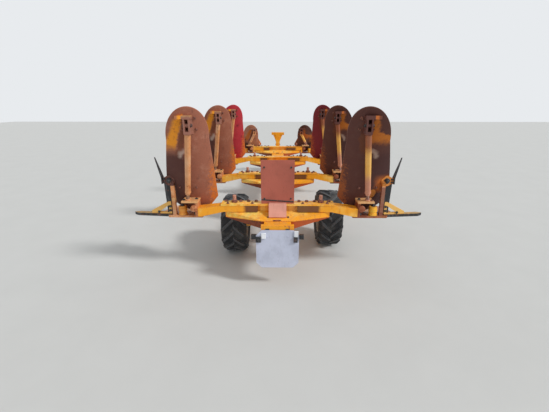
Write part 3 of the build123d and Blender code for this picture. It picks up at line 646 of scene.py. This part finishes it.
class Piece:
    """A joined mesh of small solids, in metres in the machine's own frame."""

    def __init__(self):
        self.mesh = bmesh.new()

    def skin(self, rings, ends=True):
        """Faces between rings of points, each with as many points; without ends it closes on itself."""
        rows = [[self.mesh.verts.new(p) for p in ring] for ring in rings]
        count = len(rows[0])
        pairs = list(zip(rows, rows[1:]))
        if not ends:
            pairs.append((rows[-1], rows[0]))
        for low, high in pairs:
            for i in range(count):
                j = (i + 1) % count
                self.mesh.faces.new((low[i], low[j], high[j], high[i]))
        if ends:
            self.mesh.faces.new(tuple(reversed(rows[0])))
            self.mesh.faces.new(rows[-1])

    def turned(self, where, profile, sides=20):
        """A solid turned about the place's z axis, from (height, radius) pairs."""
        self.skin([[around(where, r, a, h) for a in turns(sides)] for h, r in profile])

    def ring(self, where, profile, sides):
        """A closed ring about the place's z axis, from a closed profile of (height, radius) pairs."""
        self.skin([[around(where, r, a, h) for h, r in profile] for a in turns(sides)], ends=False)

    def plate(self, where, outline, thickness, bevel=0.0015):
        """A flat plate with bevelled rims, from a convex outline in the place's x and y."""
        mid_x = sum(x for x, _ in outline) / len(outline)
        mid_y = sum(y for _, y in outline) / len(outline)
        reach = max(abs(x - mid_x) + abs(y - mid_y) for x, y in outline)
        small = 1 - 1.4 * bevel / reach
        rings = []
        for height, share in ((0, small), (bevel, 1), (thickness - bevel, 1), (thickness, small)):
            ring = [(mid_x + (x - mid_x) * share, mid_y + (y - mid_y) * share, height) for x, y in outline]
            rings.append([where @ Vector(p) for p in ring])
        self.skin(rings)

    def panel(self, where, corners, thickness):
        """A plate that stands on the place's plane, with its corners given in the machine's frame."""
        into_place = where.inverted()
        self.plate(where, [(into_place @ Vector(corner)).xy for corner in corners], thickness)

    def block(self, where, wide, high, thick, bevel=0.0015):
        """A plate with clipped corners, centred on the place."""
        x, y = wide / 2, high / 2
        cut = min(x, y) * 0.12
        outline = (
            (-x + cut, -y), (x - cut, -y), (x, -y + cut), (x, y - cut),
            (x - cut, y), (-x + cut, y), (-x, y - cut), (-x, -y + cut),
        )
        self.plate(where, outline, thick, bevel)

    def bolt(self, point, size, direction=(0, 0, 1), stud=0.0):
        """Washer, hexagon and, where asked for, the stud's end; size is the thread's diameter."""
        where = placed(point, direction)
        washer = ((-0.1, 1.1), (0.14, 1.1), (0.18, 1.05))
        hexagon = ((0.1, 0.9), (0.72, 0.9), (0.84, 0.78))
        self.turned(where, [(h * size, r * size) for h, r in washer], 18)
        self.turned(where, [(h * size, r * size) for h, r in hexagon], 6)
        if stud:
            self.thread(where @ Matrix.Translation((0, 0, 0.8 * size)), stud, 0.5 * size)

    def thread(self, where, length, radius, pitch=0.004):
        """A threaded end, with its grooves as rings."""
        profile = []
        for index in range(int(length / pitch)):
            profile += [(index * pitch, radius * 0.88), ((index + 0.5) * pitch, radius)]
        profile.append((length, radius * 0.7))
        self.turned(where, profile, 14)

    def weld(self, start, end, size=0.006):
        """A rippled bead from start to end."""
        start, end = Vector(start), Vector(end)
        run = end - start
        count = max(3, int(run.length / (size * 0.55)))
        profile = [(-0.2 * size, 0.3 * size)]
        for index in range(count + 1):
            swell = 0.78 + 0.22 * (index % 2) + 0.06 * sin(index * 1.7)
            profile.append((run.length * index / count, size * swell))
        profile.append((run.length + 0.2 * size, 0.3 * size))
        self.turned(placed(start, run), profile, 7)

    def rod(self, points, radius, sides=10):
        """A bent round rod through points, its ends cut square."""
        points = [Vector(p) for p in points]
        rings = []
        for index, point in enumerate(points):
            ahead = points[min(index + 1, len(points) - 1)] - points[max(index - 1, 0)]
            where = placed(point, ahead)
            rings.append([around(where, radius, a) for a in turns(sides)])
        self.skin(rings)

    def finish(self, name, body, slot_name, finish_name=None, smooth=35):
        """Make the object, which rides on the body and takes its material from the slot or by name."""
        bmesh.ops.recalc_face_normals(self.mesh, faces=self.mesh.faces)
        mesh = bpy.data.meshes.new(name)
        self.mesh.to_mesh(mesh)
        self.mesh.free()
        mesh.materials.append(finishes[finish_name or slot_name])
        mesh.shade_smooth()
        mesh.set_sharp_from_angle(angle=radians(smooth))
        obj = scene_object(name, mesh)
        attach(obj, body)
        return obj


def board_point(node, x, z, from_rear=True):
    """Where the mouldboard's back, or its front, lies at this x and z, and its outward normal."""
    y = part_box(node)[0][1] - 1 if from_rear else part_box(node)[1][1] + 1
    ahead = forward if from_rear else rearward
    found, point, normal, _ = frame["nodes"][node].ray_cast((x, y, z), ahead)
    if not found:
        return None
    if normal.y * ahead[1] > 0:
        normal = -normal
    return point, normal


def make_board_bolts(k):
    """Square nuts and studs on the mouldboards' backs, flush round heads on their fronts."""
    piece = Piece()
    head_x = unit_reach[k] - stay_head_in
    head_z = unit_top[k] - 0.160
    spots = [(head_x + dx, head_z + dz) for dx in (-0.058, 0.058) for dz in (-0.06, 0.05)]
    spots += [(unit_reach[k] + dx, base_z + dz) for dx in (-0.12, -0.03, 0.08) for dz in (0.15, 0.36)]
    spots += [(unit_reach[k] + 0.20, base_z + dz) for dz in (0.10, 0.20, 0.30)]
    nut = ((-0.002, 0.017), (0.010, 0.017), (0.0115, 0.015))
    flush_head = ((-0.002, 0.0125), (0.0006, 0.0125), (0.0012, 0.0105))
    for side_name, side in hands:
        node = f"mouldboard_{side_name}_{k}"
        for x, z in spots:
            back = board_point(node, side * x, z)
            front = board_point(node, side * x, z, False)
            if back:
                place = placed(*back, 0.4)
                piece.turned(place, nut, 4)
                piece.thread(place @ Matrix.Translation((0, 0, 0.010)), 0.010, 0.006)
            if front:
                piece.turned(placed(*front), flush_head)
    piece.finish(f"board_bolts_{k}", "frame", "dark_steel", "rusty_bolt")


def make_stay_details(k):
    """Threads and lock nuts on the stays' rods, pins through their heads, and weld beads."""
    steel, paint = Piece(), Piece()
    head_low = cad_top[k] - stay_head_drop
    lock_nut = ((0.000, 0.031), (0.018, 0.031), (0.021, 0.027))
    foot_collar = ((-0.002, 0.026), (0.0, 0.034), (0.016, 0.034), (0.020, 0.031))
    head_collar = ((-0.004, 0.0315), (0.0, 0.037), (0.008, 0.037), (0.012, 0.0315))
    for side_name, side in hands:
        node = f"mouldboard_{side_name}_{k}"
        head_x = side * (unit_reach[k] - stay_head_in)
        middle, _ = board_point(node, head_x, head_low + stay_head_middle)
        eye = Vector((head_x, middle.y - stay_head_depth, head_low + stay_slot_middle))
        foot_x = side * (unit_reach[k] - stay_foot_in)
        foot = Vector((foot_x, unit_y[k] - stay_foot_behind, base_z + stay_foot_rise))
        head = Vector((head_x, eye.y, head_low + stay_tube_end))
        line = (head - foot).normalized()
        steel.thread(placed(foot + line * 0.004, line), 0.08, 0.0162)
        paint.turned(placed(foot, line), lock_nut, 6)
        paint.turned(placed(foot + line * stay_rod_length, line), foot_collar, 24)
        for way in (-1, 1):
            steel.bolt(eye + Vector((way * stay_head_half, 0, 0)), 0.018, (way, 0, 0))
        paint.turned(placed(head - line * 0.03, line), head_collar, 24)
        shelf_x = side * (unit_reach[k] - shelf_in)
        shelf_z = base_z + shelf_rise
        steel.bolt((shelf_x - side * 0.062, unit_y[k], shelf_z), 0.016)
        steel.bolt((shelf_x + side * 0.070, unit_y[k] - 0.05, shelf_z), 0.016)
        for edge in (-1, 1):
            end_x = head_x + edge * stay_head_half
            back = board_point(node, end_x, head_low + 0.02)
            back_high = board_point(node, end_x, head_low + 0.16)
            if back and back_high:
                paint.weld(back[0], back_high[0], 0.007)
    steel.finish(f"stay_steel_{k}", "frame", "dark_steel")
    stay_finish = "stay_paint_front" if k == 4 else "stay_paint"
    paint.finish(f"stay_collars_{k}", "frame", "weathered_orange", stay_finish)


def add_cheek_details(steel, paint, side, reach, y):
    """Bolts through the cheek, its welds, and the round end of the leg's pin beside it."""
    sole_top = base_z + sole_rise
    for dy in (-0.048, 0.030):
        for rise in (0.058, 0.106):
            bolt_x = side * (reach - cheek_in + cheek_half)
            steel.bolt((bolt_x, y + dy, base_z + rise), 0.019, (side, 0, 0))
    pin_end = ((-0.03, 0.026), (-0.018, 0.038), (0.010, 0.040), (0.020, 0.032), (0.024, 0.018))
    paint.turned(placed((side * (reach - 0.088), y - 0.072, base_z + 0.130), rearward), pin_end, 18)
    cheek_x = side * (reach - cheek_in)
    for dx in (-cheek_half, cheek_half):
        paint.weld((cheek_x + dx, y - 0.068, sole_top), (cheek_x + dx, y + 0.19, sole_top))
    paint.weld((cheek_x, y - 0.07, sole_top), (cheek_x, y - 0.07, base_z + 0.19), 0.005)


def add_wing_details(steel, side, reach, y):
    """The wing bracket's bolts and the dark shin plate below it."""
    bracket_z = base_z + wing_bracket_rise
    rear = y + 0.005
    steel.bolt((side * (reach + wing_bracket_out), rear, bracket_z), 0.030, rearward, 0.014)
    for rise in (-0.018, 0.018):
        steel.bolt((side * (reach + 0.247), rear, bracket_z + rise), 0.012, rearward)
    shin_y = y + 0.040
    sole_top = base_z + sole_rise
    # How far out, and how high
    outline = ((0.176, sole_top), (0.250, sole_top), (0.262, bracket_z - 0.030), (0.176, bracket_z - 0.040))
    corners = [(side * (reach + out), shin_y, z) for out, z in outline]
    steel.panel(placed((0, shin_y, 0), rearward), corners, 0.014)


def make_frog_details(k):
    """Bolts, welds, the heel's collars and the point holder's bolts on both bodies."""
    y = unit_y[k]
    reach = unit_reach[k]
    sole_top = base_z + sole_rise
    steel, paint = Piece(), Piece()
    for side in sides_of_beam:
        for out, rise in ((0.215, 0.075), (0.215, 0.125), (0.36, 0.052)):
            holder_rear = y + 0.0215 + 0.105 * (out - 0.2)
            steel.bolt((side * (reach + out), holder_rear, base_z + rise), 0.015, rearward)
        add_wing_details(steel, side, reach, y)
        add_cheek_details(steel, paint, side, reach, y)
        heel = Vector((side * (reach + heel_out), y + heel_ahead, sole_top))
        for low, high in ((0.0, 0.030), (0.046, 0.088)):
            rim = ((low, 0.0445), (low + 0.003, 0.050), (high - 0.003, 0.050), (high, 0.0445))
            paint.turned(placed(heel), rim, 28)
        steel.bolt(heel + Vector((0, 0, heel_height)), 0.022, stud=0.012)
        strut_x = side * (reach + strut_out)
        rear, front = y - 0.002, y + 0.038
        for dx in (-strut_half, strut_half):
            paint.weld((strut_x + dx, rear, sole_top), (strut_x + dx, front, sole_top))
        paint.weld((strut_x - strut_half, rear, sole_top), (strut_x + strut_half, rear, sole_top))
    steel.finish(f"frog_bolts_{k}", "frame", "dark_steel")
    paint.finish(f"frog_welds_{k}", "frame", "weathered_orange", "frog_paint")


def make_head_plate_details(k):
    """Clamp bolts with nuts, seam welds and the dark notch under the rear band."""
    y = unit_y[k]
    belly_y = y - 0.2
    end_y = y - 0.0475
    steel, paint = Piece(), Piece()
    for side in sides_of_beam:
        pivot = Vector((side * pivot_bolt_x, y, flange_top))
        steel.turned(placed(pivot), ((0.0, 0.036), (0.026, 0.036), (0.030, 0.030)), 6)
        steel.thread(placed(pivot + Vector((0, 0, 0.030))), 0.054, 0.0208)
        for x in (0.25, 0.34, 0.43, 0.60):
            steel.bolt((side * x, y + 0.030, flange_top), 0.020)
        for x in (0.29, 0.57):
            steel.bolt((side * x, y - 0.052, flange_top), 0.016, stud=0.010)
        for x in (0.06, 0.14):
            steel.bolt((side * x, y + 0.060, 0.85), 0.016, forward)
        # Closes the gap beside the centre block
        paint.block(placed((side * 0.215, y + 0.055, 0.8478), rearward), 0.0292, 0.0746, 0.085, 0.0005)
        belly_end = (side * plate_end_x, end_y, plate_seam_z)
        paint.weld((side * plate_belly_x, belly_y, plate_seam_z), belly_end, 0.005)
        paint.weld(belly_end, (side * plate_end_x, end_y, 0.805), 0.005)
    paint.weld((-plate_belly_x, belly_y, plate_seam_z), (plate_belly_x, belly_y, plate_seam_z), 0.005)
    notch = placed((-0.008, y - 0.1995, belly_line), rearward, pi)
    steel.plate(notch, ((-0.05, -0.02), (0.05, -0.02), (0.028, 0.012), (0, 0.022), (-0.028, 0.012)), 0.004)
    slope = (0, -0.065, 0.15)
    for x in (-0.105, 0.12):
        steel.bolt((x, y - 0.14, 0.7715), 0.012, slope)
    steel.finish(f"head_plate_bolts_{k}", "frame", "dark_steel", "rusty_bolt")
    paint.finish(f"head_plate_welds_{k}", "frame", "orange_paint")


def make_marker_details():
    """Screws, two pale reflectors and two dark clips at the marker plate's upper corners."""
    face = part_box("marker_plate")[0][1]
    steel, white, screws = Piece(), Piece(), Piece()
    for x, z, wide, tall in ((-0.151, 0.634, 0.050, 0.066), (0.203, 0.655, 0.046, 0.076)):
        white.block(placed((x, face, z), rearward), wide, tall, 0.012, 0.004)
    clip_z, clip_tall, clip_proud = 0.592, 0.066, 0.018
    for x, wide in ((-0.208, 0.060), (0.196, 0.044)):
        steel.block(placed((x, face, clip_z), rearward), wide, clip_tall, clip_proud, 0.003)
        steel.bolt((x, face - clip_proud, clip_z), 0.012, rearward, 0.008)
    for x in (-marker_strap_x, marker_strap_x):
        head = ((-0.001, 0.009), (0.003, 0.008), (0.0045, 0.004))
        screws.turned(placed((x, face, marker_bar_z), rearward), head, 16)
    steel.finish("marker_clips", "frame", "dark_steel")
    white.finish("marker_reflectors", "frame", "white_plate", "clean_white")
    screws.finish("marker_screws", "frame", "white_plate")


def make_rear_board_details():
    """Bolts and a slanted dark strap across the foot of the upright board."""
    low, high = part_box("rear_board")
    steel = Piece()
    for x in (-0.15, 0.15):
        for rise in (0.06, 0.42):
            steel.bolt((x, low[1], low[2] + rise), 0.010, rearward)
    strap = placed((0, low[1], low[2] + 0.035), rearward, pi - radians(4))
    steel.block(strap, high[0] - low[0] - 0.01, 0.013, 0.004, 0.001)
    steel.finish("rear_board_bolts", "frame", "dark_steel")


def wheel_place(node, side):
    """A wheel node's centre, the place there with z outward on its axle, and its half width and height."""
    low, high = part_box(node)
    centre = (Vector(low) + Vector(high)) / 2
    return centre, placed(centre, (side, 0, 0)), (high[0] - low[0]) / 2, (high[2] - low[2]) / 2


def make_tyre(side_name, side):
    """Tyre with a ribbed side wall and two rows of tapered lugs that meet in a V."""
    centre, wheel, half, outer = wheel_place(f"tyre_{side_name}", side)
    tread = outer - lug_height
    # Across from the middle, and the radius there: bead, side wall, rib, shoulder and crown
    half_profile = (
        (0.131, 0.2155), (0.139, 0.224), (0.158, 0.250), (half * 0.985, 0.277), (half, 0.300),
        (half * 0.99, 0.316), (half * 0.985, 0.318), (half * 0.985, 0.324), (half * 0.955, 0.327),
        (half * 0.90, tread - 0.020), (half * 0.74, tread - 0.004), (half * 0.4, tread), (0.0, tread + 0.001),
    )
    profile = [(-x, r) for x, r in half_profile] + list(reversed(half_profile[:-1]))
    piece = Piece()
    piece.ring(wheel, profile + [(0.125, 0.2152), (-0.125, 0.2152)], 96)
    step = 2 * pi / lug_count
    sections = 8
    for row in (-1, 1):
        for index in range(lug_count):
            turn = index * step + (row + 1) * step / 4
            rows = []
            for part in range(sections + 1):
                along = (part / sections - 0.5) * lug_length * 1.08
                across = row * lug_middle + along * cos(lug_angle)
                across = max(-half + 0.002, min(half - 0.002, across))
                shift = -row * along * sin(lug_angle) * (1 - 0.16 * row * along / lug_length)
                reach_out = abs(across) / half
                crown = outer if reach_out < 0.72 else outer - (reach_out - 0.72) * 0.155
                root = tread - 0.012 - max(0.0, reach_out - 0.8) * 0.13
                section = ((root, -1.25), (root, 1.25), (crown, 0.72), (crown, -0.72))
                rows.append([
                    around(wheel, radius, turn + (shift + width * lug_thickness / 2) / tread, across)
                    for radius, width in section
                ])
            piece.skin(rows)
    dusty_rubber(f"rubber_{side_name}", (centre, tread))
    tyre = piece.finish(f"tyre_{side_name}_detail", f"wheel_{side_name}", "tyre", f"rubber_{side_name}", 28)
    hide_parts(f"tyre_{side_name}")


def make_wheel_details(side_name, side):
    """Rim lips, wheel nuts, hub cap and valve."""
    _, wheel, half, _ = wheel_place(f"rim_{side_name}", side)
    steel, paint = Piece(), Piece()
    lip = (
        (half - 0.016, 0.2145), (half - 0.004, 0.226), (half, 0.222),
        (half - 0.004, 0.2135), (half - 0.016, 0.203),
    )
    for way in (-1, 1):
        paint.ring(wheel, [(way * x, r) for x, r in lip], 72)
    for angle in turns(wheel_nuts):
        steel.bolt(around(wheel, wheel_nut_circle, angle, 0.041), 0.018, (side, 0, 0), 0.012)
    cap = ((0.073, 0.062), (0.084, 0.062), (0.086, 0.052), (0.112, 0.048), (0.120, 0.036), (0.124, 0.012))
    paint.turned(wheel, cap, 32)
    valve = ((0, 0.006), (0.03, 0.006), (0.032, 0.004))
    steel.turned(placed(around(wheel, 0.165, 0, 0.03), (side, 0, 0)), valve, 12)
    steel.finish(f"wheel_{side_name}_nuts", f"wheel_{side_name}", "dark_steel")
    paint.finish(f"wheel_{side_name}_lips", f"wheel_{side_name}", "rim_paint")


def make_front_details():
    """Bolts and welds on the turnover hub, bolts and gussets on the mast."""
    hub_low, hub_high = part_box("headstock_hub")
    axis_z = (hub_low[2] + hub_high[2]) / 2
    mast_low, mast_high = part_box("mast")
    hub_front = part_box("beam")[1][1] + 0.040
    steel, paint = Piece(), Piece()
    flange_circle = 0.126
    for angle in turns(12):
        x = flange_circle * sin(angle + radians(15))
        z = flange_circle * cos(angle + radians(15))
        # The hub's ears leave no room for the bolts near the middle
        if abs(x) > 0.075:
            steel.bolt((x, hub_front, axis_z + z), 0.014, forward)
    post = mast_post_width / 2
    arm_low = mast_high[2] - mast_arm_height
    # How far out from the post, and how far below the arm
    gusset = ((0.0, 0.0), (0.075, 0.0), (0.020, 0.13), (0.0, 0.19))
    middle = (mast_low[1] + mast_high[1]) / 2
    for side in sides_of_beam:
        for rise in (0.18, 0.24, 0.40):
            steel.bolt((side * post, middle, axis_z + rise), 0.018, (side, 0, 0))
        paint.weld((side * 0.06, hub_front, axis_z - 0.11), (side * 0.06, hub_front, axis_z + 0.11))
        for y in (mast_low[1] + 0.022, mast_high[1] - 0.010):
            corners = [(side * (post + out), y, arm_low - down) for out, down in gusset]
            paint.panel(placed((0, y, 0), rearward), corners, 0.012)
    steel.finish("hub_bolts", "headstock", "dark_steel")
    paint.finish("hub_welds", "headstock", "orange_paint")


def make_link_pin_clips():
    """A pin through each end of the cross shaft, with its bent wire loop."""
    hub_low, hub_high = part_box("headstock_hub")
    axis_z = (hub_low[2] + hub_high[2]) / 2
    shaft_low, shaft_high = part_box("cross_shaft")
    pivot_y = (shaft_low[1] + shaft_high[1]) / 2
    pin_half = 0.034
    pins = Piece()
    for side in sides_of_beam:
        x = side * (shaft_high[0] - 0.022)
        pins.rod([(x, pivot_y, axis_z + rise) for rise in (-pin_half, 0, pin_half)], 0.0055)
        loop = []
        for index in range(15):
            a = radians(-10 + 200 * index / 14)
            loop.append((x + side * 0.0198 * cos(a), pivot_y + 0.030 * sin(a) - 0.004, axis_z + pin_half))
        pins.rod(loop, 0.0022, 8)
    pins.finish("link_pin_clips", "cross_shaft", "dark_steel")


def make_stand_details():
    """Pin end and bolts on the stand's bracket, gussets on its foot."""
    bracket_low, bracket_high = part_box("stand_bracket")
    y = (bracket_low[1] + bracket_high[1]) / 2
    z = (bracket_low[2] + bracket_high[2]) / 2
    steel = Piece()
    for dy in (-0.062, 0.062):
        for dz in (-0.062, 0.062):
            steel.bolt((bracket_high[0] - 0.0155, y + dy, z + dz), 0.010, (-1, 0, 0))
    pin_end = ((-0.001, 0.019), (0.004, 0.019), (0.006, 0.015))
    steel.turned(placed((bracket_low[0], y, z), (-1, 0, 0)), pin_end, 24)
    steel.finish("stand_bolts", "frame", "dark_steel")
    foot = Piece()
    # The leg's middle, inward of the bracket's plate
    gusset_x = bracket_high[0] - 0.0603
    for way in (-1, 1):
        edge_y, sole_z = y + way * 0.035, 0.014
        outline = ((0, 0), (0.055, 0), (0.012, 0.10), (0, 0.10))
        corners = [(gusset_x, edge_y + way * out, sole_z + rise) for out, rise in outline]
        foot.panel(placed((gusset_x, edge_y, sole_z), (1, 0, 0)), corners, 0.008)
    foot.finish("stand_gussets", "stand", "orange_paint")


for k in units:
    make_board_bolts(k)
    make_stay_details(k)
    make_frog_details(k)
    make_head_plate_details(k)
make_marker_details()
make_rear_board_details()
for side_name, side in hands:
    make_tyre(side_name, side)
    make_wheel_details(side_name, side)
make_front_details()
make_link_pin_clips()
make_stand_details()


def make_camera():
    """The photograph's view from behind."""
    marker_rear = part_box("marker_plate")[0][1]
    data = bpy.data.cameras.new("camera")
    data.sensor_width = sensor_width
    data.lens = focal_pixels / photo_width * sensor_width
    camera = scene_object("camera", data)
    camera.location = (0, marker_rear - camera_behind_marker, camera_height)
    camera.rotation_euler = (radians(90 - camera_pitch), 0, radians(camera_yaw))
    bpy.context.scene.camera = camera


def make_light():
    """One soft sun, and a pale world that only the camera and reflections see."""
    lamp = bpy.data.lights.new("key", "SUN")
    lamp.energy = key_strength
    lamp.angle = radians(key_softness)
    key = scene_object("key", lamp)
    key.rotation_euler = Vector(key_direction).to_track_quat("Z", "Y").to_euler()

    world = bpy.data.worlds.new("studio")
    world.use_nodes = True
    nodes, links = world.node_tree.nodes, world.node_tree.links
    nodes.clear()
    output = nodes.new("ShaderNodeOutputWorld")
    seen = nodes.new("ShaderNodeBackground")
    seen.inputs["Color"].default_value = linear(backdrop_colour)
    light = nodes.new("ShaderNodeBackground")
    light.inputs["Color"].default_value = world_tint
    light.inputs["Strength"].default_value = world_light
    path = nodes.new("ShaderNodeLightPath")
    share = path.outputs["Is Camera Ray"]
    for ray in ("Is Glossy Ray", "Is Transmission Ray"):
        add = nodes.new("ShaderNodeMath")
        add.operation = "MAXIMUM"
        links.new(share, add.inputs[0])
        links.new(path.outputs[ray], add.inputs[1])
        share = add.outputs[0]
    mix = nodes.new("ShaderNodeMixShader")
    links.new(share, mix.inputs[0])
    links.new(light.outputs[0], mix.inputs[1])
    links.new(seen.outputs[0], mix.inputs[2])
    links.new(mix.outputs[0], output.inputs[0])
    bpy.context.scene.world = world


def make_floor():
    """A wide flat floor, which isn't part of the machine."""
    half = floor_size / 2
    corners = [(-half, -half, 0), (half, -half, 0), (half, half, 0), (-half, half, 0)]
    mesh = bpy.data.meshes.new("floor")
    mesh.from_pydata(corners, [], [(0, 1, 2, 3)])
    mesh.materials.append(finishes["floor"])
    floor = scene_object("floor", mesh)


make_camera()
make_light()
make_floor()
bpy.context.scene.view_settings.view_transform = "Standard"

bpy.context.view_layer.update()
